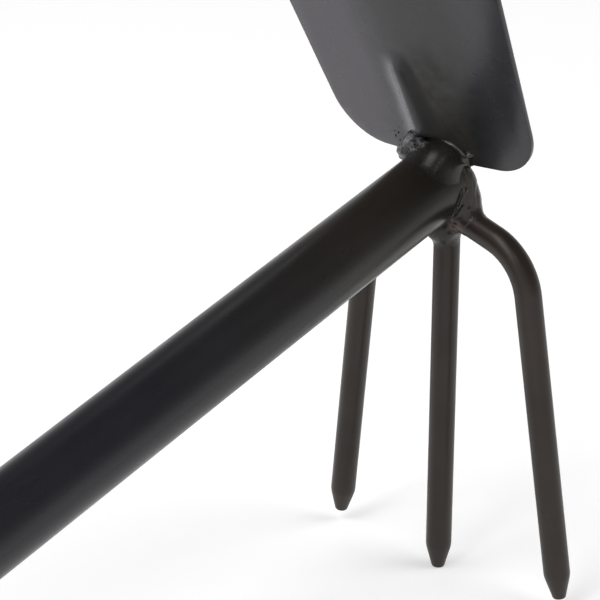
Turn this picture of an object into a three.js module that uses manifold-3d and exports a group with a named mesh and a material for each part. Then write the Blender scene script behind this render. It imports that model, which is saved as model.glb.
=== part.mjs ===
// A one-hand double hoe: a hoe blade on one side of a steel tube handle, three round tines on
// the other side, and a moulded grip at the far end. The head is welded together.
//
// The tool is drawn in its own frame: the origin is on the tube's axis at the head, +X runs
// along the handle to the grip, +Z to the blade and -Z to the tines, and -Y is the left side.
// At the end it is laid down as it rests, on the tip of its centre tine and the bulb of its grip.
// All sizes are in millimetres.

import * as THREE from "three";
import { mergeVertices } from "three/addons/utils/BufferGeometryUtils.js";
import Module from "manifold-3d";

// Joints and cuts
const seatGap = 0.3; // what stays free between two pieces that are seated or welded together
const overrun = 5; // how far a cutting shape runs past what it cuts

// Handle tube
const tubeRadius = 11;
const tubeWall = 1.5;
const tubeCutBack = 8; // how far the tube's lower half stops short of the head

// Hoe blade, a pressed sheet whose face leans towards the handle
const bladeThickness = 1.5;
const bladeSeat = 0.9; // where its handle-side face crosses the tube's axis
const bladeLeanDeg = 8.5;
const bladeFoot = 5.2; // lower edge above the axis, at the middle
const bladeHeight = 90; // lower edge to cutting edge
const bladeHalfWidth = 35.3; // at the height of the tube's axis
const bladeFlareDeg = 5.6; // how far each side leans out
const bladeFootRiseDeg = 1.9; // how far the lower edge climbs towards each side
const bladeFootCorner = 16.7;
const bladeEdgeCorner = 4;
const bevelWidth = 5; // ground on the far face
const bevelEdge = 0.4; // thickness left at the cutting edge

// Pressed rib on the blade, convex towards the handle
const ribOffset = 3.9; // to the left of the middle
const ribHeight = 2.1;
const ribHalfWidth = 9;
const ribTipHalfWidth = 7;
const ribFootRun = 4; // length over which it rises above the tube
const ribLength = 30;
const ribFade = 15; // length over which it dies away at its upper end

// Tine rods
const rodRadius = 4;
const rodTipRadius = 1.9; // flat end of the point
const rodTipLength = 7.5;

// Bow: the rod whose legs are the outer tines, flat in a plane that leans towards the handle
const bowLeanDeg = 16.4;
const bowSeat = 2.15; // where its plane crosses the tube's axis
const bowDrop = 10.75; // crown below the axis, along the plane
const bowCrownRadius = 30;
const bowShoulderDeg = 18.2; // how steeply the shoulders fall
const bowShoulderRun = 10.3; // straight length of each shoulder
const bowBendRadius = 18.7;
const bowSplayDeg = 8.1; // how far each leg leans out
const bowLegLength = 93.8;

// Centre tine: a straight rod whose axis passes through the origin
const tineLeanDeg = 18.9;
const tineReach = 127.9; // origin to tip

// Weld beads round the upper half of the tube's end, from and to these angles above the right side
const topWeldFromDeg = 42;
const topWeldToDeg = 98;
const topWeldOnTube = 7.5;
const topWeldOnBlade = 2.6;
const rightWeldFromDeg = -4;
const rightWeldToDeg = 40;
const rightWeldOnTube = 2.6;
const rightWeldOnBlade = 1.7;
const leftWeldFromDeg = 100;
const leftWeldToDeg = 186;
const leftWeldOnTube = 6.2;
const leftWeldOnBlade = 3.6;

// Weld masses, each a rounded lump cut by the pieces that it joins, with its half sizes
const bowWeldInset = 1.9; // how far the two side lumps' centres lie inside the tube's skin
const bowWeldLength = 4.7;
const bowWeldWidth = 4.1;
const bowWeldHeight = 8.4;
const backWeldInset = 3.6; // how far the lump behind the tube's end stays inside its skin
const backWeldLength = 2.6;
const tineWeldForward = 2.4; // centre of the lump, ahead of the top of the centre tine
const tineWeldLength = 5.4;
const tineWeldWidth = 6.4;
const tineWeldHeight = 4.4;

// Grip: a moulded sleeve with a guard ring, fine grooves, a bulb and a flat hanging lug
const gripStart = 220;
const gripEnd = 353.6; // end face, where the lug starts
const gripRadius = 14.2;
const gripGuardRadius = 17;
const gripGuardWidth = 5;
const gripWaist = 5; // length over which guard or bulb runs into the plain grip
const gripBulbRadius = 16;
const gripBulbWidth = 6; // length of the bulb's full ring
const gripEdge = 1; // slope at the outer edges of guard and bulb
const gripEndWall = 5; // closed end past the tube
const groovePitch = 6;
const grooveDepth = 1;
const grooveCount = 14;
const lugLength = 22; // past the end face
const lugThickness = 11;
const lugWidth = 19;
const lugHoleRadius = 4.5;

// Fineness of the curved faces
const tubeSides = 48;
const rodSides = 20;
const gripSides = 32;
const bendSteps = 10;
const crownSteps = 3;
const cornerSteps = 10;
const ribSteps = 14;
const beadSteps = 12;
const beadSectionSteps = 6;
const lumpSides = 20;
const lumpRings = 12;
const holeSides = 24;

const wasm = await Module();
wasm.setup();

const radians = THREE.MathUtils.degToRad;
const alongX = new THREE.Vector3(1, 0, 0);
const alongY = new THREE.Vector3(0, 1, 0);

// Closed geometry to solid and back, for joins and cuts
function solidOf(geometry) {
  const plain = geometry.clone();
  plain.deleteAttribute("normal");
  plain.deleteAttribute("uv");
  const merged = mergeVertices(plain);
  const mesh = new wasm.Mesh({
    numProp: 3,
    vertProperties: merged.attributes.position.array,
    triVerts: new Uint32Array(merged.index.array),
  });
  return new wasm.Manifold(mesh);
}

function geometryOf(solid) {
  const mesh = solid.getMesh();
  const geometry = new THREE.BufferGeometry();
  geometry.setAttribute("position", new THREE.BufferAttribute(mesh.vertProperties, 3));
  geometry.setIndex(new THREE.BufferAttribute(mesh.triVerts, 1));
  geometry.computeVertexNormals();
  return geometry;
}

function cut(geometry, ...tools) {
  const start = solidOf(geometry);
  return geometryOf(tools.reduce((solid, tool) => solid.subtract(solidOf(tool)), start));
}

function join(...geometries) {
  return geometryOf(geometries.map(solidOf).reduce((all, solid) => all.add(solid)));
}

function common(a, b) {
  return geometryOf(solidOf(a).intersect(solidOf(b)));
}

// A box between two corners
function block(low, high) {
  const size = new THREE.Vector3().subVectors(high, low);
  const middle = new THREE.Vector3().addVectors(low, high).multiplyScalar(1 / 2);
  return new THREE.BoxGeometry(size.x, size.y, size.z).translate(middle.x, middle.y, middle.z);
}

// A lathe form round the X axis, from profile points given as (radius, x) in rising x
function turned(profile, sides) {
  const points = profile.map(([radius, x]) => new THREE.Vector2(radius, x));
  return new THREE.LatheGeometry(points, sides).rotateX(Math.PI / 2).rotateY(Math.PI / 2);
}

// A closed form through matching closed sections, capped at both ends
function lofted(sections) {
  const count = sections[0].length;
  const middles = [sections[0], sections.at(-1)].map((section) =>
    section.reduce((sum, point) => sum.add(point), new THREE.Vector3()).divideScalar(count),
  );
  const vertices = [...sections.flat(), ...middles];
  const faces = [];
  const last = (sections.length - 1) * count;
  for (let k = 0; k < count; k += 1) {
    const next = (k + 1) % count;
    for (let row = 0; row < last; row += count) {
      faces.push(row + k, row + count + k, row + next);
      faces.push(row + next, row + count + k, row + count + next);
    }
    faces.push(last + count, k, next);
    faces.push(last + count + 1, last + next, last + k);
  }
  return new THREE.BufferGeometry().setFromPoints(vertices).setIndex(faces);
}

// An ellipsoid with its centre and half sizes, grown on every side
function lump(centre, halfSizes, grow) {
  const { x, y, z } = halfSizes;
  return new THREE.SphereGeometry(1, lumpSides, lumpRings)
    .scale(x + grow, y + grow, z + grow)
    .translate(centre.x, centre.y, centre.z);
}

// Places where the grip carries the tube and where its bulb is widest last
const tubeEnd = gripEnd - gripEndWall - seatGap;
const bulbHeel = gripEnd - gripEdge;

// Blade face: where it is at a height, and the turn and shift that put a flat blade there
const bladeLean = radians(bladeLeanDeg);

function bladeFaceAt(z) {
  return bladeSeat + z * Math.tan(bladeLean);
}

function placeBlade(geometry) {
  return geometry.rotateY(bladeLean).translate(bladeSeat, 0, 0);
}

// Tube, hollow when a bore is given, or solid and grown on every side to keep welds out of it
function tubeForm(grow, bore) {
  const outer = tubeRadius + grow;
  const start = -outer;
  const rod = [[0, start], [outer, start], [outer, tubeEnd], [0, tubeEnd]];
  const pipe = [[bore, start], [outer, start], [outer, tubeEnd], [bore, tubeEnd], [bore, start]];
  const round = turned(bore > 0 ? pipe : rod, tubeSides);
  const reach = outer + overrun;
  const beyondBlade = placeBlade(
    block(
      new THREE.Vector3(-reach - reach, -reach, -reach - reach),
      new THREE.Vector3(seatGap - grow, reach, reach + reach),
    ),
  );
  const lowerHalf = block(
    new THREE.Vector3(-reach, -reach, -reach),
    new THREE.Vector3(tubeCutBack - grow, reach, -grow),
  );
  return cut(round, beyondBlade, lowerHalf);
}

// Blade sheet with its rib, as thick as asked for on either side of the far and handle faces
function bladeForm(grow) {
  const flare = Math.tan(radians(bladeFlareDeg));
  const top = bladeFoot + bladeHeight;
  const footSide = (bladeHalfWidth + bladeFoot * flare) * Math.tan(radians(bladeFootRiseDeg));
  const sideAt = (height) => bladeHalfWidth + height * flare + grow;
  const footCorner = bladeFoot + footSide - grow;
  const outline = roundedOutline([
    [0, bladeFoot - grow, 0],
    [sideAt(footCorner), footCorner, bladeFootCorner],
    [sideAt(top), top + grow, bladeEdgeCorner],
    [-sideAt(top), top + grow, bladeEdgeCorner],
    [-sideAt(footCorner), footCorner, bladeFootCorner],
  ]);
  const depth = bladeThickness + ribHeight + overrun + overrun;
  const plate = new THREE.ExtrudeGeometry(outline, { depth, bevelEnabled: false })
    .rotateX(Math.PI / 2)
    .rotateZ(Math.PI / 2)
    .translate(-bladeThickness - overrun, 0, 0);
  const sheet = ribbedSheet(grow, sideAt(top) + overrun, top + overrun);
  const bevel = new THREE.Shape();
  bevel.moveTo(-bevelEdge, top);
  bevel.lineTo(-bladeThickness, top - bevelWidth);
  bevel.lineTo(-bladeThickness - overrun, top - bevelWidth);
  bevel.lineTo(-bladeThickness - overrun, top + overrun);
  bevel.lineTo(-bevelEdge, top + overrun);
  const width = sideAt(top) + overrun;
  const wedge = new THREE.ExtrudeGeometry(bevel, { depth: width + width, bevelEnabled: false })
    .rotateX(Math.PI / 2)
    .translate(0, width, 0);
  return placeBlade(cut(common(plate, sheet), wedge));
}

// Closed outline with rounded corners, from (across, up, radius) points listed anticlockwise
function roundedOutline(corners) {
  const shape = new THREE.Shape();
  corners.forEach(([across, up, radius], index) => {
    const here = new THREE.Vector2(across, up);
    const before = corners.at(index - 1);
    const after = corners[(index + 1) % corners.length];
    const back = new THREE.Vector2(before[0], before[1]).sub(here).normalize();
    const ahead = new THREE.Vector2(after[0], after[1]).sub(here).normalize();
    const half = Math.acos(back.dot(ahead)) / 2;
    const start = here.clone().addScaledVector(back, radius / Math.tan(half));
    const middle = back.clone().add(ahead).normalize();
    const centre = here.clone().addScaledVector(middle, radius / Math.sin(half));
    const steps = radius > 0 ? cornerSteps : 0;
    const turn = Math.PI - half - half;
    for (let step = 0; step <= steps; step += 1) {
      const angle = steps > 0 ? (turn * step) / steps : 0;
      const point = start.clone().rotateAround(centre, angle);
      if (index === 0 && step === 0) shape.moveTo(point.x, point.y);
      else shape.lineTo(point.x, point.y);
    }
  });
  return shape;
}

// How far the rib stands out of the blade's handle-side face
const ribFoot = tubeRadius + seatGap;

function ribRise(across, up) {
  const along = (up - ribFoot) / ribLength;
  const halfWidth = THREE.MathUtils.lerp(ribHalfWidth, ribTipHalfWidth, along);
  const side = Math.min(Math.abs(across + ribOffset) / halfWidth, 1);
  const foot = THREE.MathUtils.smoothstep(up, ribFoot, ribFoot + ribFootRun);
  const fade = THREE.MathUtils.smoothstep(up, ribFoot + ribLength - ribFade, ribFoot + ribLength);
  return ribHeight * foot * (1 - fade) * (1 - side * side) ** 2;
}

// Sheet that follows the rib, with flat margins that the outline trims
function ribbedSheet(grow, halfWidth, top) {
  const spread = (from, to) =>
    Array.from({ length: ribSteps + 1 }, (_, k) => THREE.MathUtils.lerp(from, to, k / ribSteps));
  const across = [-halfWidth, ...spread(-ribOffset - ribHalfWidth, ribHalfWidth - ribOffset)];
  const up = [-overrun, ...spread(ribFoot, ribFoot + ribLength), top];
  across.push(halfWidth);
  const face = (shift) => up.map((w) => across.map((u) => [ribRise(u, w) + shift, u, w]));
  const near = face(grow).flat();
  const far = face(-bladeThickness - grow).flat();
  const columns = across.length;
  const rows = up.length;
  const faces = [];
  const quad = (a, b, c, d) => faces.push(a, b, c, a, c, d);
  for (let row = 0; row < rows - 1; row += 1) {
    for (let column = 0; column < columns - 1; column += 1) {
      const corner = row * columns + column;
      const above = corner + columns;
      quad(corner, corner + 1, above + 1, above);
      quad(...[corner, above, above + 1, corner + 1].map((k) => k + near.length));
    }
  }
  const rim = [];
  for (let column = 0; column < columns - 1; column += 1) rim.push(column);
  for (let row = 0; row < rows - 1; row += 1) rim.push(row * columns + columns - 1);
  for (let column = columns - 1; column > 0; column -= 1) rim.push((rows - 1) * columns + column);
  for (let row = rows - 1; row > 0; row -= 1) rim.push(row * columns);
  rim.forEach((here, k) => {
    const next = rim[(k + 1) % rim.length];
    quad(next, here, here + near.length, next + near.length);
  });
  const points = [...near, ...far].map((p) => new THREE.Vector3(...p));
  return new THREE.BufferGeometry().setFromPoints(points).setIndex(faces);
}

// Path that a rod is swept along: it visits the stations given, and no others
class StationPath extends THREE.Curve {
  constructor(stations) {
    super();
    this.stations = stations;
  }

  getPointAt(share, target = new THREE.Vector3()) {
    return target.copy(this.stations[Math.round(share * (this.stations.length - 1))]);
  }

  getTangentAt(share, target = new THREE.Vector3()) {
    const index = Math.round(share * (this.stations.length - 1));
    const before = this.stations[Math.max(index - 1, 0)];
    const after = this.stations[Math.min(index + 1, this.stations.length - 1)];
    const here = this.stations[index];
    const inward = here.clone().sub(before).normalize();
    const outward = after.clone().sub(here).normalize();
    return target.copy(inward).add(outward).normalize();
  }
}

// Centre line of the bow in its own plane, as (across, down) from left tip to right tip
function bowLine() {
  const shoulder = radians(bowShoulderDeg);
  const leg = Math.PI / 2 - radians(bowSplayDeg);
  const start = new THREE.Vector2(0, bowDrop);
  const half = [];
  const arc = (from, radius, fromAngle, toAngle, steps) => {
    for (let step = 1; step <= steps; step += 1) {
      const angle = THREE.MathUtils.lerp(fromAngle, toAngle, step / steps);
      const across = radius * (Math.sin(angle) - Math.sin(fromAngle));
      const down = radius * (Math.cos(fromAngle) - Math.cos(angle));
      half.push(new THREE.Vector2(from.x + across, from.y + down));
    }
  };
  const straight = (length, angle) => {
    const step = new THREE.Vector2(length * Math.cos(angle), length * Math.sin(angle));
    half.push(half.at(-1).clone().add(step));
  };
  arc(start, bowCrownRadius, 0, shoulder, crownSteps);
  straight(bowShoulderRun, shoulder);
  arc(half.at(-1).clone(), bowBendRadius, shoulder, leg, bendSteps);
  straight(bowLegLength - rodTipLength, leg);
  straight(rodTipLength, leg);
  const mirrored = half.map((point) => new THREE.Vector2(-point.x, point.y)).reverse();
  return [...mirrored, start, ...half];
}

function rodSection(radius) {
  const section = new THREE.Shape();
  for (let side = 0; side < rodSides; side += 1) {
    const angle = (2 * Math.PI * side) / rodSides;
    const place = [radius * Math.cos(angle), radius * Math.sin(angle)];
    if (side === 0) section.moveTo(...place);
    else section.lineTo(...place);
  }
  return section;
}

function bowForm(grow) {
  const lean = radians(bowLeanDeg);
  const stations = bowLine().map(
    ({ x: across, y: down }) =>
      new THREE.Vector3(bowSeat + down * Math.sin(lean), across, -down * Math.cos(lean)),
  );
  const rod = new THREE.ExtrudeGeometry(rodSection(rodRadius + grow), {
    steps: stations.length - 1,
    extrudePath: new StationPath(stations),
  });
  const place = rod.attributes.position;
  const point = new THREE.Vector3();
  const nearer = (a, b) => (a.distanceToSquared(point) < b.distanceToSquared(point) ? a : b);
  for (let k = 0; k < place.count; k += 1) {
    point.fromBufferAttribute(place, k);
    const station = stations.reduce(nearer);
    if (station === stations[0] || station === stations.at(-1)) {
      point.sub(station).multiplyScalar(rodTipRadius / rodRadius).add(station);
      place.setXYZ(k, point.x, point.y, point.z);
    }
  }
  return rod;
}

function bowCrown() {
  const lean = radians(bowLeanDeg);
  return new THREE.Vector3(bowSeat + bowDrop * Math.sin(lean), 0, -bowDrop * Math.cos(lean));
}

// Centre tine, pointing down its leaning axis from under the bow's crown
const tineLean = radians(tineLeanDeg);
const tineDirection = new THREE.Vector3(Math.sin(tineLean), 0, -Math.cos(tineLean));
const tineTop = bowCrown().dot(tineDirection) + rodRadius + seatGap;

function tineForm(grow, lift) {
  const radius = rodRadius + grow;
  const profile = [
    [0, tineTop - lift],
    [radius, tineTop - lift],
    [radius, tineReach - rodTipLength],
    [rodTipRadius + grow, tineReach + grow],
    [0, tineReach + grow],
  ];
  const aim = new THREE.Quaternion().setFromUnitVectors(alongX, tineDirection);
  return turned(profile, rodSides).applyQuaternion(aim);
}

// Weld beads laid round the tube's end, hollow or full in section, with their lobes of run
const topBead = {
  fromDeg: topWeldFromDeg,
  toDeg: topWeldToDeg,
  onTube: topWeldOnTube,
  onBlade: topWeldOnBlade,
  hollow: true,
  lobes: 1,
  lobeShare: 0.06,
  endShare: 0.6,
};
const rightBead = {
  fromDeg: rightWeldFromDeg,
  toDeg: rightWeldToDeg,
  onTube: rightWeldOnTube,
  onBlade: rightWeldOnBlade,
  hollow: false,
  lobes: 3,
  lobeShare: 0.08,
  endShare: 0.7,
};
const leftBead = {
  fromDeg: leftWeldFromDeg,
  toDeg: leftWeldToDeg,
  onTube: leftWeldOnTube,
  onBlade: leftWeldOnBlade,
  hollow: false,
  lobes: 4,
  lobeShare: 0.1,
  endShare: 0.75,
};

function beadForm({ fromDeg, toDeg, onTube, onBlade, hollow, lobes, lobeShare, endShare }, grow) {
  const sections = [];
  const seat = tubeRadius + seatGap;
  const spare = grow / seat;
  for (let step = 0; step <= beadSteps; step += 1) {
    const share = step / beadSteps;
    const angle = THREE.MathUtils.lerp(radians(fromDeg) - spare, radians(toDeg) + spare, share);
    const swell = endShare + (1 - endShare) * Math.sin(Math.PI * share);
    const lobe = 1 + lobeShare * Math.sin(2 * Math.PI * lobes * share);
    const along = onTube * swell * lobe + grow;
    const out = onBlade * swell * lobe + grow;
    const at = (ahead, radius) => {
      const z = radius * Math.sin(angle);
      return new THREE.Vector3(bladeFaceAt(z) + seatGap + ahead, radius * Math.cos(angle), z);
    };
    const section = [at(0, seat)];
    for (let k = 0; k <= beadSectionSteps; k += 1) {
      const turn = (Math.PI / 2) * (k / beadSectionSteps);
      const ahead = hollow ? 1 - Math.cos(turn) : Math.sin(turn);
      const rise = hollow ? 1 - Math.sin(turn) : Math.cos(turn);
      section.push(at(along * ahead, seat + out * rise));
    }
    sections.push(section);
  }
  return lofted(sections);
}

function beadWeld(shape) {
  return cut(beadForm(shape, 0), bladeForm(seatGap), tubeForm(seatGap, 0));
}

// Weld lumps, each trimmed by the pieces that it joins and by the welds laid before it
function lumpWeld(centre, halfSizes, ...earlier) {
  return cut(
    lump(centre, halfSizes, 0),
    tubeForm(seatGap, 0),
    bladeForm(seatGap),
    bowForm(seatGap),
    ...earlier,
  );
}

const backWeldCentre = new THREE.Vector3(bladeSeat - bladeThickness, 0, 0);
const backWeldRadius = tubeRadius - backWeldInset;
const backWeldSizes = new THREE.Vector3(backWeldLength, backWeldRadius, backWeldRadius);

// The side lumps fill the notch under the tube's upper half, up to its cut edge
function bowWeld(side, neighbour) {
  const out = side * (tubeRadius - bowWeldInset);
  const centre = new THREE.Vector3(tubeCutBack / 2, out, -bowDrop / 2);
  const sizes = new THREE.Vector3(bowWeldLength, bowWeldWidth, bowWeldHeight);
  const reach = tubeCutBack + tubeRadius + bowWeldLength + bowWeldWidth + bowWeldHeight;
  const upperHalf = block(
    new THREE.Vector3(-reach, -reach, -seatGap),
    new THREE.Vector3(reach, reach, reach),
  );
  const back = lump(backWeldCentre, backWeldSizes, seatGap);
  return lumpWeld(centre, sizes, back, upperHalf, beadForm(neighbour, seatGap));
}

function tineWeld() {
  const centre = tineDirection.clone().multiplyScalar(tineTop);
  centre.x += tineWeldForward;
  const sizes = new THREE.Vector3(tineWeldLength, tineWeldWidth, tineWeldHeight);
  return lumpWeld(centre, sizes, tineForm(seatGap, rodRadius));
}

// Grip: sleeve round the tube with a closed end, then the lug with its hanging hole
function gripForm() {
  const bore = tubeRadius + seatGap;
  const boreEnd = tubeEnd + seatGap;
  const bulbStart = gripEnd - gripBulbWidth;
  const plainStart = gripStart + gripGuardWidth + gripWaist;
  const plainEnd = bulbStart - gripWaist;
  const firstGroove = (plainStart + plainEnd - grooveCount * groovePitch) / 2;
  const profile = [
    [0, boreEnd],
    [bore, boreEnd],
    [bore, gripStart],
    [gripGuardRadius - gripEdge, gripStart],
    [gripGuardRadius, gripStart + gripEdge],
    [gripGuardRadius, gripStart + gripGuardWidth],
    [gripRadius, plainStart],
  ];
  for (let groove = 0; groove < grooveCount; groove += 1) {
    const from = firstGroove + groove * groovePitch;
    profile.push([gripRadius, from]);
    profile.push([gripRadius - grooveDepth, from + grooveDepth]);
    profile.push([gripRadius - grooveDepth, from + grooveDepth + grooveDepth]);
    profile.push([gripRadius, from + grooveDepth + grooveDepth + grooveDepth]);
  }
  profile.push([gripRadius, plainEnd]);
  profile.push([gripBulbRadius, bulbStart]);
  profile.push([gripBulbRadius, bulbHeel]);
  profile.push([gripBulbRadius - gripEdge, gripEnd]);
  profile.push([0, gripEnd]);
  const sleeve = turned(profile, gripSides);
  const lugEnd = gripEnd + lugLength;
  const halfWidth = lugWidth / 2;
  const outline = roundedOutline([
    [boreEnd + seatGap, -halfWidth, 0],
    [lugEnd, -halfWidth, halfWidth],
    [lugEnd, halfWidth, halfWidth],
    [boreEnd + seatGap, halfWidth, 0],
  ]);
  const lug = new THREE.ExtrudeGeometry(outline, { depth: lugThickness, bevelEnabled: false })
    .translate(0, 0, -lugThickness / 2)
    .rotateX(Math.PI / 2);
  const hole = new THREE.CylinderGeometry(
    lugHoleRadius,
    lugHoleRadius,
    lugThickness + overrun,
    holeSides,
  ).translate(lugEnd - halfWidth, 0, 0);
  return cut(join(sleeve, lug), hole);
}

// Finishes
const blackPaint = { color: 0x1d1c1b, roughness: 0.42, metalness: 0.1 };
const bladePaint = { color: 0x3a3a3d, roughness: 0.38, metalness: 0.15 };
const tinePaint = { color: 0x2a2725, roughness: 0.5, metalness: 0.1 };
const weldPaint = { color: 0x24211f, roughness: 0.62, metalness: 0.1 };
const gripRubber = { color: 0x161616, roughness: 0.75, metalness: 0 };

function piece(name, geometry, finish) {
  const mesh = new THREE.Mesh(geometry, new THREE.MeshStandardMaterial(finish));
  mesh.name = name;
  return mesh;
}

const hollowTube = tubeForm(0, tubeRadius - tubeWall);
const tool = new THREE.Group();
tool.add(piece("handle_tube", cut(hollowTube, bowForm(seatGap)), blackPaint));
tool.add(piece("hoe_blade", bladeForm(0), bladePaint));
tool.add(piece("tine_bow", bowForm(0), tinePaint));
tool.add(piece("center_tine", tineForm(0, 0), tinePaint));
tool.add(piece("weld_blade_top", beadWeld(topBead), weldPaint));
tool.add(piece("weld_blade_left", beadWeld(leftBead), weldPaint));
tool.add(piece("weld_blade_right", beadWeld(rightBead), weldPaint));
tool.add(piece("weld_blade_back", lumpWeld(backWeldCentre, backWeldSizes), weldPaint));
tool.add(piece("weld_bow_left", bowWeld(-1, leftBead), weldPaint));
tool.add(piece("weld_bow_right", bowWeld(1, rightBead), weldPaint));
tool.add(piece("weld_center_tine", tineWeld(), weldPaint));
tool.add(piece("grip_sleeve", gripForm(), gripRubber));

// Rest: the handle drops until the centre tine's tip and the bulb's heel stand on one floor
const tipAt = tineDirection.clone().multiplyScalar(tineReach);
const restAngle = Math.atan((-tipAt.z - gripBulbRadius) / (bulbHeel - tipAt.x));
tool.rotateOnAxis(alongY, restAngle);

// The origin is on the floor, under the middle of the box that holds the tool
const doubleHoe = new THREE.Group();
doubleHoe.add(tool);
doubleHoe.updateMatrixWorld(true);
const room = new THREE.Box3().setFromObject(tool, true);
const middle = room.getCenter(new THREE.Vector3());
tool.position.set(-middle.x, -middle.y, -room.min.z);

export default doubleHoe;
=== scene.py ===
"""The looks of a one-hand double hoe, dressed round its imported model, in metres.

Each piece is drawn in the tool's own frame: the origin is on the tube's axis at the head, +X
runs along the handle to the grip, +Z to the blade, -Z to the tines, and -Y is the left side.
TURN and SHIFT then lay the tool down as it rests.
"""

import math

import bmesh
import bpy
import numpy as np
from mathutils import Matrix, Vector
from mathutils.geometry import delaunay_2d_cdt


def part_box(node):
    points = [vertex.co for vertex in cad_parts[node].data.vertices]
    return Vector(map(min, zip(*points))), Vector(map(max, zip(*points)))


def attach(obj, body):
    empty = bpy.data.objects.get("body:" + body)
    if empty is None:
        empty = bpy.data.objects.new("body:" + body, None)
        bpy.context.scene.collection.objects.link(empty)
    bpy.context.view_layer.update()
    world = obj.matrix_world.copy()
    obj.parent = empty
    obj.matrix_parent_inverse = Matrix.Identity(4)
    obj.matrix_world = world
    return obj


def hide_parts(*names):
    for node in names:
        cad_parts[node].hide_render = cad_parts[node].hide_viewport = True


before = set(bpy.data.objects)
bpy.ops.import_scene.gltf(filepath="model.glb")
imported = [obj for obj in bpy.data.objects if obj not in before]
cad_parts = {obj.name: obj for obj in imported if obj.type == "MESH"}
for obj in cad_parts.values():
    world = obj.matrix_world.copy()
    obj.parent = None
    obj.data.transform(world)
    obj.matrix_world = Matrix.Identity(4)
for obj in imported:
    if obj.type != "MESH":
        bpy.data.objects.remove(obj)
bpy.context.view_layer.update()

# Handle tube
TUBE_RADIUS = 0.011
TUBE_WALL = 0.0015
TUBE_CUT_BACK = 0.008  # how far its lower half stops short of the head
TUBE_RIM = 0.0002  # rounding of its cut end

# Hoe blade
BLADE_THICKNESS = 0.0015
BLADE_SEAT = 0.0009  # where its handle-side face crosses the tube's axis
BLADE_LEAN = math.radians(8.5)
BLADE_FOOT = 0.0052
BLADE_TOP = BLADE_FOOT + 0.09
BLADE_HALF_WIDTH = 0.0353
BLADE_FLARE = math.tan(math.radians(5.6))
BLADE_FOOT_RISE = math.tan(math.radians(1.9))
BLADE_FOOT_CORNER = 0.0167
BLADE_EDGE_CORNER = 0.004
BLADE_ROUNDING = 0.0003  # of its punched edge
BLADE_WARP = (0.00012, 0.03, 3)  # how it strays from flat: height, cell and seed
WING_DROP = 0.0006  # how far the sides bend back at the foot, and less towards the edge
BEVEL_WIDTH = 0.005
BEVEL_EDGE = 0.0004

# Pressed rib
RIB_OFFSET = 0.0039
RIB_HEIGHT = 0.0021
RIB_HALF_WIDTH = 0.009
RIB_TIP_HALF_WIDTH = 0.007
RIB_FOOT_RUN = 0.004
RIB_LENGTH = 0.033
RIB_FADE = 0.007
RIB_CREST = 0.1  # rounding of its crest on the left, as a share of its half width
RIB_LEFT_POWER = 2.2  # the larger, the hollower its left side
RIB_RIGHT_REACH = 1.3  # of its right side at the foot, as a share of its half width
RIB_RIGHT_TAPER = 0.75
RIB_FOOT = TUBE_RADIUS + 0.0003
RIB_TOP = RIB_FOOT + RIB_LENGTH

# Tine rods, and the bow whose legs are the outer tines
ROD_RADIUS = 0.004
ROD_TIP_RADIUS = 0.0019
ROD_TIP_LENGTH = 0.0075
TIP_ROUNDING = 0.0006
TIP_SHOULDER = 0.0012
BOW_LEAN = math.radians(16.4)
BOW_SEAT = 0.00215
BOW_DROP = 0.01075
BOW_CROWN_RADIUS = 0.03
BOW_SHOULDER = math.radians(18.2)
BOW_SHOULDER_RUN = 0.0103
BOW_BEND_RADIUS = 0.0187
BOW_LEG = math.pi / 2 - math.radians(8.1)
BOW_LEG_LENGTH = 0.0938
TINE_LEAN = math.radians(18.9)
TINE_REACH = 0.1279

# Grip
SEAT_GAP = 0.0003
GRIP_START = 0.22
GRIP_END = 0.3536
GRIP_RADIUS = 0.0142
GUARD_RADIUS = 0.017
GUARD_WIDTH = 0.005
GRIP_WAIST = 0.005
BULB_RADIUS = 0.016
BULB_WIDTH = 0.006
GRIP_EDGE = 0.001
GRIP_END_WALL = 0.005
GROOVE_PITCH = 0.006
GROOVE_WIDTH = 0.003
GROOVE_DEPTH = 0.001
GROOVE_COUNT = 14
LUG_LENGTH = 0.022
LUG_THICKNESS = 0.011
LUG_WIDTH = 0.019
LUG_SQUARENESS = 9  # power of its section's outline, where 2 is round
LUG_HOLE_RADIUS = 0.0045
LUG_HOLE_FLARE = 0.0009
LUG_FILLET = 0.0012
SEAM_HEIGHT = 0.00012  # of the moulding line that runs round the grip

# Welds: a fillet is the width of the blend into what a weld lies on, and bumps are given by their
# height, cell and seed
WELD_SINK = 0.00005  # how far a weld's feathered edge dips under what it lies on
CUT_ROUNDING = 0.0003  # of a weld where it ends inside the blade's sheet
WELD_BOXES = {  # lowest and highest corners of the box that each weld lies in
    "weld_blade_top": ((-0.001, -0.010, 0.002), (0.018, 0.014, 0.018)),
    "weld_blade_left": ((-0.002, -0.019, -0.006), (0.012, 0.002, 0.018)),
    "weld_blade_right": ((-0.002, 0.002, -0.005), (0.007, 0.017, 0.015)),
    "weld_blade_back": ((-0.006, -0.012, -0.012), (0.005, 0.012, 0.012)),
    "weld_bow_left": ((-0.005, -0.018, -0.020), (0.013, 0, 0.010)),
    "weld_bow_right": ((-0.005, 0, -0.020), (0.013, 0.018, 0.010)),
    "weld_center_tine": ((-0.003, -0.012, -0.027), (0.019, 0.012, -0.004)),
}

# Collar on top of the tube
COLLAR_TOE = np.array([0.0126, 0.0057, 0.0094])  # where its crest runs out onto the tube
COLLAR_CREST = np.array([0.645, 0.396, -0.654])  # the way the crest runs, down and forward
COLLAR_FACE = np.array([0.564, 0.332, 0.756])  # the way the crest looks
COLLAR_ROUND = 0.0115
COLLAR_CENTRE = (0.0030, 0.0016, 0.0062)
COLLAR_SIZES = (0.0132, 0.0088, 0.0072)
COLLAR_BLEND = 0.001
COLLAR_BUMPS = (0.0001, 0.004, 11)
COLLAR_FILLET = 0.0012
COLLAR_FILLET_GROWTH = 0.0007  # what is added to it out on the tube
COLLAR_FILLET_RUN = (0.002, 0.006)  # distances from the blade over which it is added

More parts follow.
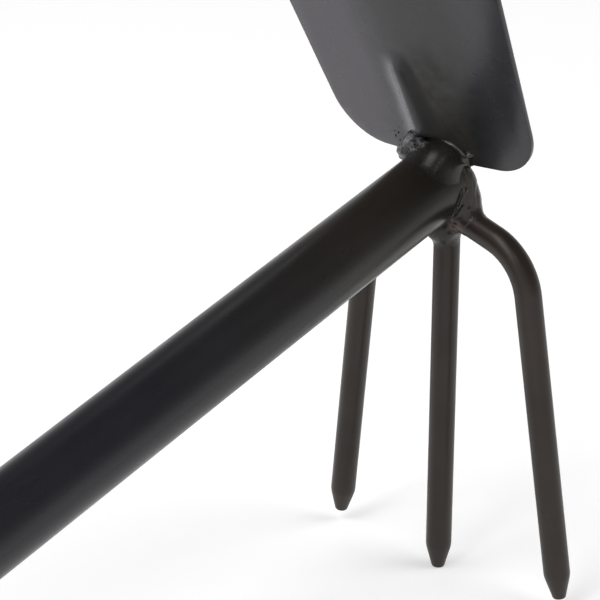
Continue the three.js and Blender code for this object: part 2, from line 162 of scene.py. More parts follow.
# Ridge that goes on round the tube, by degrees as turn_round gives them
RIDGE_RADIUS = 0.00072
RIDGE_START = 104
RIDGE_SPLIT = 46  # where the right weld takes it over
RIDGE_END = 34
RIDGE_SOFT = 7
RIDGE_SINK_SHARE = 0.5  # how far it sinks beyond its ends, as a share of its radius
RIDGE_AHEAD = 0.0003  # of the blade's face
RIDGE_OUT = 0.0011  # from the tube
RIDGE_OUT_GROWTH = 0.0006  # what is added to it at the right side
RIDGE_OUT_RUN = (60, 100)
RIDGE_FILLET = 0.0006
RIDGE_RIPPLES = [(0.12, 31), (0.1, 13)]  # share of its radius, and waves in a turn

# Rough blob at the left of the blade's foot: centres and half sizes of its lumps
LEFT_LUMPS = [
    ((0.0040, -0.0072, 0.0108), (0.0036, 0.0034, 0.0031)),
    ((0.0042, -0.0102, 0.0076), (0.0032, 0.0031, 0.0034)),
    ((0.0052, -0.0040, 0.0114), (0.0030, 0.0026, 0.0026)),
    ((0.0066, -0.0018, 0.0122), (0.0019, 0.0017, 0.0015)),
    ((0.0034, -0.0118, 0.0030), (0.0026, 0.0023, 0.0036)),
    ((0.0064, -0.0080, 0.0084), (0.0022, 0.0030, 0.0024)),
]
LEFT_BLEND = 0.0012
LEFT_BUMPS = [(0.00045, 0.0019, 21), (0.0003, 0.0009, 22)]
LEFT_PIT_COUNT = 60
LEFT_PIT_SEED = 23
LEFT_PIT_SHARE = 1.04  # how far from its lump's centre, as a share of the lump's half size
LEFT_PIT_RADII = (0.0002, 0.00055)
LEFT_PIT_SOFT = 0.0003
LEFT_FILLET = 0.0007
SPATTER = [  # drops on the blade's face: across, height and radius
    (-0.0145, 0.0118, 0.00036),
    (-0.0164, 0.0102, 0.00042),
    (-0.0158, 0.0122, 0.00022),
    (-0.0176, 0.0116, 0.0002),
    (-0.0136, 0.0140, 0.00024),
    (-0.0150, 0.0088, 0.0003),
    (-0.0112, 0.0166, 0.0003),
]
SPATTER_SHARES = (0.8, 1, 1.2)  # a drop's half sizes, as shares of its radius

# Bead at the right of the blade's foot
KNOB = (0.0028, 0.0118, 0.0095)
KNOB_SIZES = (0.0008, 0.0010, 0.0007)
KNOB_BLEND = 0.0004
RIGHT_BUMPS = (0.00008, 0.0013, 31)
RIGHT_FILLET = 0.0009

# Masses that join the bow, the tube and the blade: centres and half sizes of their lumps
BOW_LUMPS = [
    ((0.0040, 0.0088, -0.0056), (0.0047, 0.0039, 0.0084)),
    ((0.0036, 0.0095, 0.0000), (0.0027, 0.0023, 0.0062)),
]
BOW_BLEND = 0.0016
BOW_BUMPS = (0.00018, 0.0026)
BOW_SEEDS = {-1: 61, 1: 62}  # of the left and the right
BOW_FILLET = 0.0026  # low down
BOW_SIDE_FILLET = 0.0010  # on the tube's side
BOW_FILLET_RUN = (-0.006, -0.001)  # heights between which the one becomes the other
BOW_COAT = 0.0001  # how thick it lies on the pieces round it
BOW_REACH_SHARE = 0.8  # how far the mass goes beyond its lumps, as a share of its fillet
BOW_RIM = 0.0003
FOLD_WIDTH = 0.0004
FOLD_HEIGHT = 0.00005
FOLD_SWAY = (3, 0.003)  # radians by which they sway, and its cell

# Crevice between the tube and the bow's weld: degrees round the tube, place along it, width
CREVICE = np.array([
    (-40, 0.0108, -0.0003),
    (-31, 0.0104, 0.0001),
    (-12, 0.0096, 0.0003),
    (3, 0.0071, 0.0005),
    (9, 0.0065, -0.0003),
])
CREVICE_OUT = 0.0003  # of its middle from the tube's surface
CREVICE_SOFT = 0.00015

# Lip of the bow's weld along the crevice
LIP_RADIUS = 0.0009
LIP_SPAN = (-24, 3)
LIP_SOFT = 6
LIP_OUT = 0.0002
LIP_BUMPS = (0.0001, 0.0015)
LIP_BLEND = 0.0008

# Pitted scar in front of the centre tine
SCAR = (0.0096, 0.0077, -0.0123)
SCAR_SIZE = 0.0026
SCAR_FADE = (0.0015, 0.0035)  # distances over which its rust ends
SCAR_PIT_SOFT = 0.0002
SCAR_PITS = [  # place and radius
    (0.0102, 0.0054, -0.0139, 0.0007),
    (0.0097, 0.0060, -0.0137, 0.0003),
    (0.0098, 0.0062, -0.0105, 0.00028),
    (0.0098, 0.0067, -0.0104, 0.0003),
    (0.0097, 0.0072, -0.0103, 0.00045),
    (0.0097, 0.0077, -0.0103, 0.00042),
    (0.0096, 0.0082, -0.0104, 0.00028),
    (0.0094, 0.0078, -0.0130, 0.0003),
]

# Fillet round the top of the centre tine
TINE_WELD_OFFSET = (0.0024, 0, 0.0003)  # of its middle from the tine's top
TINE_WELD_SIZES = (0.0052, 0.0058, 0.0042)
TINE_BUMPS = (0.0002, 0.0022, 41)
TINE_SCAR_BUMPS = (0.0004, 0.0008, 42)
TINE_FILLET = 0.003

# Bead that closes the tube's end behind the blade
BACK_RADIUS = TUBE_RADIUS - 0.0036
BACK_DEPTH = 0.0026
BACK_BUMPS = [(0.00025, 0.0024, 51), (0.0001, 0.0009, 52)]
BACK_FILLET = 0.0012

# Places that follow from the sizes
TUBE_END = GRIP_END - GRIP_END_WALL - SEAT_GAP
BULB_HEEL = GRIP_END - GRIP_EDGE
LUG_CENTRE = GRIP_END + LUG_LENGTH - LUG_WIDTH / 2
TINE_AIM = np.array([math.sin(TINE_LEAN), 0, -math.cos(TINE_LEAN)])
TINE_TIP = TINE_REACH * TINE_AIM
REST_ANGLE = math.atan((-TINE_TIP[2] - BULB_RADIUS) / (BULB_HEEL - TINE_TIP[0]))
TURN = np.array(Matrix.Rotation(REST_ANGLE, 3, "Y"))
HEAD_HEIGHT = BULB_HEEL * math.sin(REST_ANGLE) + BULB_RADIUS * math.cos(REST_ANGLE)
HEAD_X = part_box("grip_sleeve")[1].x - LUG_CENTRE * math.cos(REST_ANGLE) - LUG_WIDTH / 2
SHIFT = np.array([HEAD_X, 0, HEAD_HEIGHT])

# Camera, fitted to the photograph's outlines, in the tool's frame
CAMERA_AT = np.array([0.36947, 0.37680, 0.29557])
CAMERA_AZIMUTH = math.radians(134.58)
CAMERA_ELEVATION = math.radians(19.15)
CAMERA_LENS = 123.1
CAMERA_SENSOR = 36.0

# Brightness of the studio's dome, by height from the horizon at 0 to overhead at 1
DOME = [(0.0, 1.0), (0.12, 0.95), (0.42, 0.37), (0.7, 0.17), (0.95, 0.08)]
FLAG_AIM = (-0.36, 0.93, 0.1)  # a dark flag beside the handle, out of the camera's sight
FLAG_EDGE = 0.55  # cosine of the angle from its middle at which it fades out
FLAG_SHADE = 0.45
FLOOR_REACH = 6.0
FLOOR_TONE = 0.8
FLOOR_LIFT = 0.31  # glow that the camera and reflections see, so that the floor is white
BOX_LAMPS = [  # name, way from the head towards it, size and level
    ("softbox", (0.90, 0, 1.20), 0.55, 4.4),
    ("front_box", (1.33, 0.19, 0.87), 0.55, 3.4),
    ("side_box", (0.82, 0.76, 1.00), 0.3, 0.9),
    ("panel", (-0.42, -0.66, 1.28), 0.5, 0.55),
]
FAR_LAMPS = [  # name, way towards it, spread and level
    ("key", (-0.3, 0.6, 0.9), 0.75, 1.2),
    ("fill", (0.7, -0.3, 0.9), 0.9, 0.8),
]

# Painted tint of the light on the tube, by distance along the handle from the head
TUBE_LIGHT_TINT_FADE = (0.03, 0.13)

# Painted light on the blade, by place across it from left to right, and by height at the crest
REFLECTION_FADE = (-0.018, 0.003)
RIB_SHADE_FADE = (0.018, 0.028)
HIGHLIGHT_LEFT = (-0.0125, -0.0085)
HIGHLIGHT_RIGHT = (-0.0062, -0.0045)
HIGHLIGHT_TOP = (0.03, 0.042)

# The patch right of the rib with painted shade, where the paint is also duller
SHADE_PATCH = (0.005, 0.009, 0.024)
SHADE_PATCH_FADE = (0.012, 0.032)
SHADE_PATCH_LEFT = (-0.004, 0.002)
SHADE_PATCH_RIGHT = (0.011, 0.024)
SHADE_PATCH_DULLING = 0.35

# Fineness
TUBE_SIDES = 128
ROD_SIDES = 40
GRIP_SIDES = 120
HOLE_SIDES = 64
ROUND_STEPS = 4
SHARP_ANGLE = math.radians(38)
MERGE = 1e-6
WELD_CELL = 0.00022


# Meshes

def skin(loops, capped=True):
    """Vertices and faces of a form that runs through matching closed loops."""
    loops = np.array(loops)
    rows, columns = loops.shape[:2]
    grid = np.arange(rows * columns).reshape(rows, columns)
    faces = [grid[0][::-1].tolist(), grid[-1].tolist()] if capped else []
    if not capped:
        grid = np.vstack([grid, grid[:1]])
    here, ahead = grid[:-1], grid[1:]
    quads = np.stack([here, np.roll(here, -1, 1), np.roll(ahead, -1, 1), ahead], axis=-1)
    return loops.reshape(-1, 3), faces + quads.reshape(-1, 4).tolist()


def form_mesh(name, form):
    """The mesh of a form drawn in the tool's frame, laid down as the tool rests."""
    vertices, faces = form
    mesh = bpy.data.meshes.new(name)
    mesh.from_pydata((np.asarray(vertices) @ TURN.T + SHIFT).tolist(), [], faces)
    tidy = bmesh.new()
    tidy.from_mesh(mesh)
    bmesh.ops.remove_doubles(tidy, verts=tidy.verts, dist=MERGE)
    bmesh.ops.recalc_face_normals(tidy, faces=tidy.faces)
    tidy.to_mesh(mesh)
    tidy.free()
    return mesh


def smooth(mesh):
    mesh.shade_smooth()
    mesh.set_sharp_from_angle(angle=SHARP_ANGLE)


def add_object(name, data):
    thing = bpy.data.objects.new(name, data)
    bpy.context.scene.collection.objects.link(thing)
    return thing


def add_piece(name, form, material, slot, *nodes):
    """Adds a piece drawn in the tool's frame, which stands for the CAD nodes named."""
    mesh = form_mesh(name, form)
    smooth(mesh)
    mesh.materials.append(material)
    piece = add_object(name, mesh)
    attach(piece, "root")
    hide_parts(*nodes)
    return piece


def smoothstep(value, low, high):
    share = np.clip((value - low) / (high - low), 0, 1)
    return share * share * (3 - 2 * share)


def bumps(points, height, cell, seed):
    """Smooth random values up to a height above or below zero, in bumps about one cell wide."""
    size = 32
    lattice = np.random.default_rng(seed).uniform(-1, 1, (size, size, size))
    places = points / cell
    base = np.floor(places).astype(int)
    part = places - base
    part = part * part * (3 - 2 * part)
    total = np.zeros(points.shape[:-1])
    for corner in np.ndindex(2, 2, 2):
        weight = np.prod(np.where(corner, part, 1 - part), axis=-1)
        x, y, z = np.moveaxis((base + corner) % size, -1, 0)
        total += weight * lattice[x, y, z]
    return height * total


# Handle tube

def face_x(z):
    """Where the blade's handle-side face is at a height above the tube's axis."""
    return BLADE_SEAT + z * math.tan(BLADE_LEAN)


def tube_form():
    """A pipe whose upper half meets the blade and whose lower half is cut back."""
    upper = np.linspace(0, math.pi, TUBE_SIDES // 2 + 1)
    angles = np.concatenate([upper, upper + math.pi])
    is_upper = np.arange(len(angles)) < len(upper)

    def ring(radius, ahead):
        z = radius * np.sin(angles)
        start = np.where(is_upper, face_x(z), TUBE_CUT_BACK)
        return np.stack([start + ahead, radius * np.cos(angles), z], axis=-1)

    def far_ring(radius):
        place = ring(radius, 0)
        place[:, 0] = TUBE_END
        return place

    inner = TUBE_RADIUS - TUBE_WALL
    rim = TUBE_RIM
    loops = [
        far_ring(inner),
        ring(inner, rim),
        ring(inner + rim, 0),
        ring(TUBE_RADIUS - rim, 0),
        ring(TUBE_RADIUS, rim),
        far_ring(TUBE_RADIUS),
    ]
    return skin(loops, capped=False)


# Hoe blade

def blade_place(depth, across, up):
    """Points of the blade's own sheet, by depth, place across and height, in the tool's frame."""
    sine, cosine = math.sin(BLADE_LEAN), math.cos(BLADE_LEAN)
    x = depth * cosine + up * sine + BLADE_SEAT
    return np.stack([x, across, up * cosine - depth * sine], axis=-1)


def blade_outline(grow):
    """The blade's edge, with as many points whatever it is grown by."""
    foot_side = (BLADE_HALF_WIDTH + BLADE_FOOT * BLADE_FLARE) * BLADE_FOOT_RISE
    low = BLADE_FOOT + foot_side - grow
    high = BLADE_TOP + grow

    def side(height):
        return BLADE_HALF_WIDTH + height * BLADE_FLARE + grow

    corners = [
        (0, BLADE_FOOT - grow, 0),
        (side(low), low, BLADE_FOOT_CORNER + grow),
        (side(high), high, BLADE_EDGE_CORNER + grow),
        (-side(high), high, BLADE_EDGE_CORNER + grow),
        (-side(low), low, BLADE_FOOT_CORNER + grow),
    ]
    arc_steps, side_steps = 20, 24
    arcs = []
    for k, (across, up, radius) in enumerate(corners):
        here = Vector((across, up))
        back = (Vector(corners[k - 1][:2]) - here).normalized()
        ahead = (Vector(corners[(k + 1) % len(corners)][:2]) - here).normalized()
        half = back.angle(ahead) / 2
        centre = here + (back + ahead).normalized() * (radius / math.sin(half))
        start = here + back * (radius / math.tan(half)) - centre
        turn = math.pi - 2 * half
        steps = arc_steps if radius > 0 else 0
        turns = [turn * step / max(steps, 1) for step in range(steps + 1)]
        arcs.append([centre + Matrix.Rotation(angle, 2) @ start for angle in turns])
    outline = []
    for k, arc in enumerate(arcs):
        follow = arcs[(k + 1) % len(arcs)][0]
        outline += arc
        outline += [arc[-1].lerp(follow, step / side_steps) for step in range(1, side_steps)]
    return np.array(outline)


def rib_rise(across, up):
    """How far the pressed rib stands out of the blade: it falls off sharper on its left."""
    along = (up - RIB_FOOT) / RIB_LENGTH
    half_width = RIB_HALF_WIDTH + (RIB_TIP_HALF_WIDTH - RIB_HALF_WIDTH) * along
    share = (across + RIB_OFFSET) / half_width
    left = (np.hypot(share, RIB_CREST) - RIB_CREST) / (math.hypot(1, RIB_CREST) - RIB_CREST)
    left = (1 - np.minimum(left, 1)) ** RIB_LEFT_POWER
    reach = RIB_RIGHT_REACH - RIB_RIGHT_TAPER * np.clip(along, 0, 1)
    right = (1 - np.minimum(share / reach, 1) ** 2) ** 2
    foot = smoothstep(up, RIB_FOOT, RIB_FOOT + RIB_FOOT_RUN)
    fade = smoothstep(up, RIB_TOP - RIB_FADE, RIB_TOP)
    return RIB_HEIGHT * foot * (1 - fade) * np.where(share < 0, left, right)


def blade_form():
    """The sheet: two faces of fine triangles inside its edge, and a rounded rim between them."""
    inner = blade_outline(-BLADE_ROUNDING)
    rib_step, plain_step, bevel_count = 0.0008, 0.004, 25

    def grid(across, up):
        return np.stack(np.meshgrid(across, up), axis=-1).reshape(-1, 2)

    rib_across = np.arange(-RIB_OFFSET - RIB_HALF_WIDTH, RIB_HALF_WIDTH - RIB_OFFSET, rib_step)
    rib_up = np.arange(RIB_FOOT, RIB_TOP, rib_step)
    rib_points = grid(rib_across, rib_up)
    plain_across = np.arange(-BLADE_HALF_WIDTH, BLADE_HALF_WIDTH, plain_step)
    plain_up = np.arange(BLADE_FOOT, BLADE_TOP - BEVEL_WIDTH, plain_step)
    plain_points = grid(plain_across, plain_up)
    off_rib = np.abs(plain_points[:, 0] + RIB_OFFSET) > RIB_HALF_WIDTH
    off_rib |= plain_points[:, 1] > RIB_TOP
    bevel_start = BLADE_TOP - BEVEL_WIDTH
    bevel_reach = BLADE_HALF_WIDTH + bevel_start * BLADE_FLARE - plain_step / 2
    bevel_points = grid(np.linspace(-bevel_reach, bevel_reach, bevel_count), [bevel_start])
    points = np.concatenate([inner, rib_points, plain_points[off_rib], bevel_points])
    count = len(inner)
    edges = [(k, (k + 1) % count) for k in range(count)]
    found = delaunay_2d_cdt([Vector(p) for p in points.tolist()], edges, [], 1, MERGE)
    flat = np.array([list(p) for p in found[0]])
    triangles = found[2]

    def thickness(up):
        worn = (up - BLADE_TOP + BEVEL_WIDTH) / BEVEL_WIDTH
        return BLADE_THICKNESS + (BEVEL_EDGE - BLADE_THICKNESS) * np.clip(worn, 0, 1)

    def surface(places, share_of_depth):
        across, up = places.T
        spots = np.stack([across, up, np.zeros(len(up))], axis=-1)
        warp = bumps(spots + BLADE_TOP, *BLADE_WARP)
        warp *= smoothstep(up, RIB_FOOT, RIB_TOP)
        drop = WING_DROP * (across / BLADE_HALF_WIDTH) ** 2 * (BLADE_TOP - up) / BLADE_TOP
        depth = rib_rise(across, up) + warp - drop - share_of_depth * thickness(up)
        return blade_place(depth, across, up)

    near, far = surface(flat, 0), surface(flat, 1)
    vertices = [near, far]
    faces = [list(t) for t in triangles]
    faces += [[k + len(near) for k in reversed(t)] for t in triangles]
    loops = [surface(inner, 0)]
    for step in range(1, 2 * ROUND_STEPS):
        turn = math.pi / 2 * min(step, 2 * ROUND_STEPS - step) / ROUND_STEPS
        edge = blade_outline(-BLADE_ROUNDING * (1 - math.sin(turn)))
        share = min(BLADE_ROUNDING * (1 - math.cos(turn)) / BLADE_THICKNESS, 1 / 2)
        loops.append(surface(edge, share if step <= ROUND_STEPS else 1 - share))
    loops.append(surface(inner, 1))
    rim_vertices, rim_faces = skin(loops)
    first = len(near) + len(far)
    faces += [[k + first for k in face] for face in rim_faces[2:]]  # all but its two caps
    vertices.append(rim_vertices)
    return np.concatenate(vertices), faces


# Tine rods

def rod_loops(line, normal, tips):
    """Round loops along a flat line of points, pointed at the ends that tips names."""
    line = np.array(line)
    normal = np.array(normal)
    steps = np.diff(line, axis=0)
    lengths = np.linalg.norm(steps, axis=1)
    ways = steps / lengths[:, None]
    aims = np.vstack([ways[:1], ways]) + np.vstack([ways, ways[-1:]])
    aims /= np.linalg.norm(aims, axis=1)[:, None]
    run = np.concatenate([[0], np.cumsum(lengths)])
    angles = np.linspace(0, 2 * math.pi, ROD_SIDES, endpoint=False)
    loops = []
    for place, aim, walked in zip(line, aims, run):
        left = min(walked if tips[0] else math.inf, run[-1] - walked if tips[1] else math.inf)
        radius = tip_radius(left)
        side = np.cross(normal, aim)
        around = np.outer(np.cos(angles), normal) + np.outer(np.sin(angles), side)
        loops.append(place + radius * around)
    return loops


def tip_radius(left):
    """A rod's radius at a distance from its point: a flat cone with soft corners."""
    if left >= ROD_TIP_LENGTH + TIP_SHOULDER:
        return ROD_RADIUS
    slope = (ROD_RADIUS - ROD_TIP_RADIUS) / ROD_TIP_LENGTH
    cone = ROD_TIP_RADIUS + slope * left
    shoulder = max(left - ROD_TIP_LENGTH + TIP_SHOULDER, 0)
    cone -= slope * shoulder * shoulder / (4 * TIP_SHOULDER)
    end = max(1 - left / TIP_ROUNDING, 0)
    return min(cone, ROD_RADIUS) - TIP_ROUNDING * (1 - math.sqrt(1 - end * end))


def tip_stations(start, end):
    """Places along a pointed end, from the full rod at start to its point at end."""
    length = np.linalg.norm(end - start)
    lefts = [ROD_TIP_LENGTH + TIP_SHOULDER * s for s in (1, 0.5, 0, -0.5, -1)]
    lefts += [ROD_TIP_LENGTH / 2]
    lefts += [TIP_ROUNDING * s for s in (1, 0.75, 0.5, 0.3, 0.15, 0.05, 0)]
    return [end + (start - end) * left / length for left in lefts]


def bow_line():
    """Centre line of the bow in its own plane, as (across, down), from crown to right tip."""
    half = [np.array([0, BOW_DROP])]

    def arc(radius, start, end, steps):
        centre = half[-1] + radius * np.array([-math.sin(start), math.cos(start)])
        for turn in np.linspace(start, end, steps + 1)[1:]:
            half.append(centre + radius * np.array([math.sin(turn), -math.cos(turn)]))

    crown_steps, bend_steps = 8, 26
    arc(BOW_CROWN_RADIUS, 0, BOW_SHOULDER, crown_steps)
    aim = np.array([math.cos(BOW_SHOULDER), math.sin(BOW_SHOULDER)])
    half.append(half[-1] + BOW_SHOULDER_RUN * aim)
    arc(BOW_BEND_RADIUS, BOW_SHOULDER, BOW_LEG, bend_steps)
    tip = half[-1] + BOW_LEG_LENGTH * np.array([math.cos(BOW_LEG), math.sin(BOW_LEG)])
    return half + tip_stations(half[-1], tip)


BOW_LINE = bow_line()


def bow_place(places):
    """Points of the bow's plane, as (across, down), in the tool's frame."""
    across, down = np.array(places).T
    x = BOW_SEAT + down * math.sin(BOW_LEAN)
    return np.stack([x, across, -down * math.cos(BOW_LEAN)], axis=-1)


def bow_form():
    mirrored = [place * (-1, 1) for place in reversed(BOW_LINE[1:])]
    normal = (math.cos(BOW_LEAN), 0, math.sin(BOW_LEAN))
    return skin(rod_loops(bow_place(mirrored + BOW_LINE), normal, (True, True)))


BOW_CROWN = bow_place([(0, BOW_DROP)])[0]
TINE_TOP = (BOW_CROWN @ TINE_AIM + ROD_RADIUS + SEAT_GAP) * TINE_AIM


def tine_form():
    line = [TINE_TOP] + tip_stations(TINE_TOP, TINE_TIP)
    return skin(rod_loops(line, (0, 1, 0), (False, True)))


# Fields: signed distances to a form, or nearly so, below zero inside it

def tube_gap(p):
    return np.hypot(p[..., 1], p[..., 2]) - TUBE_RADIUS


def face_gap(p):
    """Distance in front of the blade's handle-side face."""
    ahead = p[..., 0] - BLADE_SEAT
    return ahead * math.cos(BLADE_LEAN) - p[..., 2] * math.sin(BLADE_LEAN)


def pipe_field(p):
    wall = np.maximum(tube_gap(p), -tube_gap(p) - TUBE_WALL)
    cut = np.minimum(TUBE_CUT_BACK - p[..., 0], -p[..., 2])
    return np.maximum.reduce([wall, -face_gap(p), cut])


def blade_height(p):
    """Height up the blade's own sheet."""
    return (p[..., 0] - BLADE_SEAT) * math.sin(BLADE_LEAN) + p[..., 2] * math.cos(BLADE_LEAN)


def blade_field(p):
    sheet = np.maximum(face_gap(p), -face_gap(p) - BLADE_THICKNESS)
    return np.maximum(sheet, BLADE_FOOT - blade_height(p))


def rod_field(p, start, end):
    along = end - start
    share = np.clip((p - start) @ along / (along @ along), 0, 1)
    return np.linalg.norm(p - start - share[..., None] * along, axis=-1) - ROD_RADIUS


def bow_field(p):
    """The bow's crown and shoulders, which the welds reach."""
    crown_and_shoulder = 12
    half = bow_place(BOW_LINE[:crown_and_shoulder])
    other = half * (1, -1, 1)
    pairs = list(zip(half[:-1], half[1:])) + list(zip(other[:-1], other[1:]))
    return np.minimum.reduce([rod_field(p, a, b) for a, b in pairs])


def tine_field(p):
    return rod_field(p, TINE_TOP, TINE_TIP)


def lump_field(p, centre, half_sizes):
    return (np.linalg.norm((p - centre) / half_sizes, axis=-1) - 1) * min(half_sizes)


def smooth_min(a, b, blend):
    share = np.maximum(blend - np.abs(a - b), 0) / blend
    return np.minimum(a, b) - share * share * blend / 4


def smooth_max(a, b, blend):
    return -smooth_min(-a, -b, blend)


def lumps_field(p, lumps, blend):
    """Lumps grown together, from their centres and half sizes."""
    body = np.full(p.shape[:-1], 1.0)
    for centre, half_sizes in lumps:
        body = smooth_min(body, lump_field(p, centre, half_sizes), blend)
    return body


def nearest(p, *fields):
    """Distance from the nearest of the pieces that a weld lies on."""
    return np.minimum.reduce([field(p) for field in fields])


def surface_net(field, low, cell):
    """Vertices and quads of the surface where a field on a grid of points changes sign."""
    shape = np.array(field.shape)
    owners, places, quads = [], [], []
    for axis in range(3):
        across, up = np.eye(3, dtype=int)[[(axis + 1) % 3, (axis + 2) % 3]]
        step = np.eye(3, dtype=int)[axis]
        low_end = field[tuple(slice(0, n - s) for n, s in zip(shape, step))]
        high_end = field[tuple(slice(s, n) for n, s in zip(shape, step))]
        edges = np.argwhere((low_end < 0) != (high_end < 0))
        start, end = low_end[tuple(edges.T)], high_end[tuple(edges.T)]
        crossing = edges + np.outer(start / (start - end), step)
        around = [edges - across - up, edges - up, edges, edges - across]
        ids = np.stack([np.ravel_multi_index(tuple(c.T), shape) for c in around], axis=-1)
        ids[start >= 0] = ids[start >= 0][:, ::-1]
        quads.append(ids)
        owners.append(ids.ravel())
        places.append(np.repeat(crossing, 4, axis=0))
    owners, places, quads = map(np.concatenate, (owners, places, quads))
    names, index = np.unique(owners, return_inverse=True)
    sums = np.zeros((len(names), 3))
    np.add.at(sums, index, places)
    vertices = sums / np.bincount(index)[:, None] * cell + low
    return vertices, np.searchsorted(names, quads).tolist()


def weld_form(field, low, high):
    """The closed surface of a field inside a box."""
    low, high = np.array(low), np.array(high)
    counts = np.ceil((high - low) / WELD_CELL).astype(int) + 1
    axes = [low[k] + WELD_CELL * np.arange(counts[k]) for k in range(3)]
    points = np.stack(np.meshgrid(*axes, indexing="ij"), axis=-1)
    values = field(points)
    for axis in range(3):
        for end in (0, -1):
            np.moveaxis(values, axis, 0)[end] = WELD_CELL
    return surface_net(values, low, WELD_CELL)


# Welds

def turn_round(p):
    """Degrees round the tube's axis: 0 at the right, 90 on top, 180 at the left."""
    angle = np.degrees(np.arctan2(p[..., 2], p[..., 1]))
    return np.where(angle < -90, angle + 360, angle)


def window(angle, start, end, soft):
    """1 between two angles and 0 outside them."""
    begun = smoothstep(angle, start - soft, start + soft)
    return begun * (1 - smoothstep(angle, end - soft, end + soft))


def fused(body, base, fillet):
    """A lump with a fillet all round, whose edge dips just under what it lies on."""
    return np.maximum(smooth_min(body, base, fillet) + WELD_SINK, body - fillet)


def pitted(body, p, pits, soft):
    for x, y, z, radius in pits:
        pit = np.linalg.norm(p - (x, y, z), axis=-1) - radius
        body = smooth_max(body, -pit, soft)
    return body


def ridge_field(p, start, end):
    """A raised run of weld in the corner between tube and blade."""
    angle = turn_round(p)
    shown = window(angle, start, end, RIDGE_SOFT)
    ripple = 1
    for share, waves in RIDGE_RIPPLES:
        ripple = ripple + share * np.sin(np.radians(angle * waves))
    out = RIDGE_OUT + RIDGE_OUT_GROWTH * (1 - smoothstep(angle, *RIDGE_OUT_RUN))
    centre = np.hypot(face_gap(p) - RIDGE_AHEAD, tube_gap(p) - out)
    return centre - RIDGE_RADIUS * (shown * ripple - RIDGE_SINK_SHARE * (1 - shown))


def in_front(field):
    """A weld that ends inside the blade's sheet and doesn't come out behind it."""

    def kept(p):
        ahead = face_gap(p) - rib_rise(p[..., 1], blade_height(p))
        return smooth_max(field(p), -ahead - BLADE_THICKNESS / 2, CUT_ROUNDING)

    return kept


def collar_field(p):
    """The smooth tongue of weld that runs from the blade out onto the top of the tube."""
    away = p - (COLLAR_TOE - COLLAR_ROUND * COLLAR_FACE)
    away = away - (away @ COLLAR_CREST)[..., None] * COLLAR_CREST
    rolled = np.linalg.norm(away, axis=-1) - COLLAR_ROUND
    mound = lump_field(p, COLLAR_CENTRE, COLLAR_SIZES)
    return smooth_max(rolled, mound, COLLAR_BLEND) + bumps(p, *COLLAR_BUMPS)


def top_weld(p):
    collar = collar_field(p)
    base = nearest(p, blade_field, pipe_field)
    fillet = COLLAR_FILLET + COLLAR_FILLET_GROWTH * smoothstep(face_gap(p), *COLLAR_FILLET_RUN)
    ridge = ridge_field(p, RIDGE_SPLIT, RIDGE_START)
    ridge = fused(ridge, np.minimum(collar, base), RIDGE_FILLET)
    return np.minimum(fused(collar, base, fillet), ridge)


def left_weld(p):
    body = lumps_field(p, LEFT_LUMPS, LEFT_BLEND)
    for rough in LEFT_BUMPS:
        body = body + bumps(p, *rough)
    draw = np.random.default_rng(LEFT_PIT_SEED)
    pits = []
    for pit in range(LEFT_PIT_COUNT):
        centre, half_sizes = LEFT_LUMPS[pit % len(LEFT_LUMPS)]
        aim = draw.normal(size=3)
        spot = centre + aim / np.linalg.norm(aim) * half_sizes * LEFT_PIT_SHARE
        pits.append((*spot, draw.uniform(*LEFT_PIT_RADII)))
    body = pitted(body, p, pits, LEFT_PIT_SOFT)
    body = fused(body, nearest(p, pipe_field, blade_field, collar_field), LEFT_FILLET)
    for across, z, radius in SPATTER:
        drop = lump_field(p, (face_x(z), across, z), np.multiply(radius, SPATTER_SHARES))
        body = np.minimum(body, drop)
    return body


def right_weld(p):
    ridge = ridge_field(p, RIDGE_END, RIDGE_SPLIT)
    knob = lump_field(p, KNOB, KNOB_SIZES)
    body = smooth_min(ridge, knob, KNOB_BLEND) + bumps(p, *RIGHT_BUMPS)
    return fused(body, nearest(p, pipe_field, blade_field, collar_field), RIGHT_FILLET)


def bow_weld(side):
    """The mass that joins bow, tube and blade on one side; the scar's pits only reach the right."""
    seed = BOW_SEEDS[side]

    def field(p):
        mirrored = p * (1, side, 1)
        angle = turn_round(mirrored)
        ahead = p[..., 0] - np.interp(angle, CREVICE[:, 0], CREVICE[:, 1])
        folds = FOLD_HEIGHT * np.sin(ahead / FOLD_WIDTH + bumps(p, *FOLD_SWAY, seed))
        body = lumps_field(mirrored, BOW_LUMPS, BOW_BLEND) + folds + bumps(p, *BOW_BUMPS, seed)
        base = nearest(p, bow_field, blade_field, pipe_field)
        side_share = smoothstep(p[..., 2], *BOW_FILLET_RUN)
        fillet = BOW_FILLET + (BOW_SIDE_FILLET - BOW_FILLET) * side_share
        mass = smooth_min(body, base, fillet) - BOW_COAT
        mass = smooth_max(mass, body - BOW_REACH_SHARE * fillet, BOW_RIM)
        shown = window(angle, *LIP_SPAN, LIP_SOFT)
        lip = np.hypot(ahead + LIP_RADIUS, tube_gap(p) - LIP_OUT) - LIP_RADIUS * (2 * shown - 1)
        mass = smooth_min(mass, lip + bumps(p, *LIP_BUMPS, seed), LIP_BLEND)
        width = np.interp(angle, CREVICE[:, 0], CREVICE[:, 2])
        crevice = np.hypot(ahead, tube_gap(p) - CREVICE_OUT) - width
        mass = smooth_max(mass, -crevice, CREVICE_SOFT)
        return pitted(mass, p, SCAR_PITS, SCAR_PIT_SOFT)

    return field


def tine_weld(p):
    body = lump_field(p, TINE_TOP + TINE_WELD_OFFSET, TINE_WELD_SIZES)
    near = np.exp(-np.sum(((p - SCAR) / SCAR_SIZE) ** 2, axis=-1))
    body = body + bumps(p, *TINE_BUMPS) + near * bumps(p, *TINE_SCAR_BUMPS)
    body = fused(body, nearest(p, bow_field, pipe_field, tine_field), TINE_FILLET)
    return pitted(body, p, SCAR_PITS, SCAR_PIT_SOFT)


def back_weld(p):
    centre = (BLADE_SEAT - BLADE_THICKNESS, 0, 0)
    body = lump_field(p, centre, (BACK_DEPTH, BACK_RADIUS, BACK_RADIUS))
    for rough in BACK_BUMPS:
        body = body + bumps(p, *rough)
    return fused(body, nearest(p, bow_field, blade_field, pipe_field), BACK_FILLET)


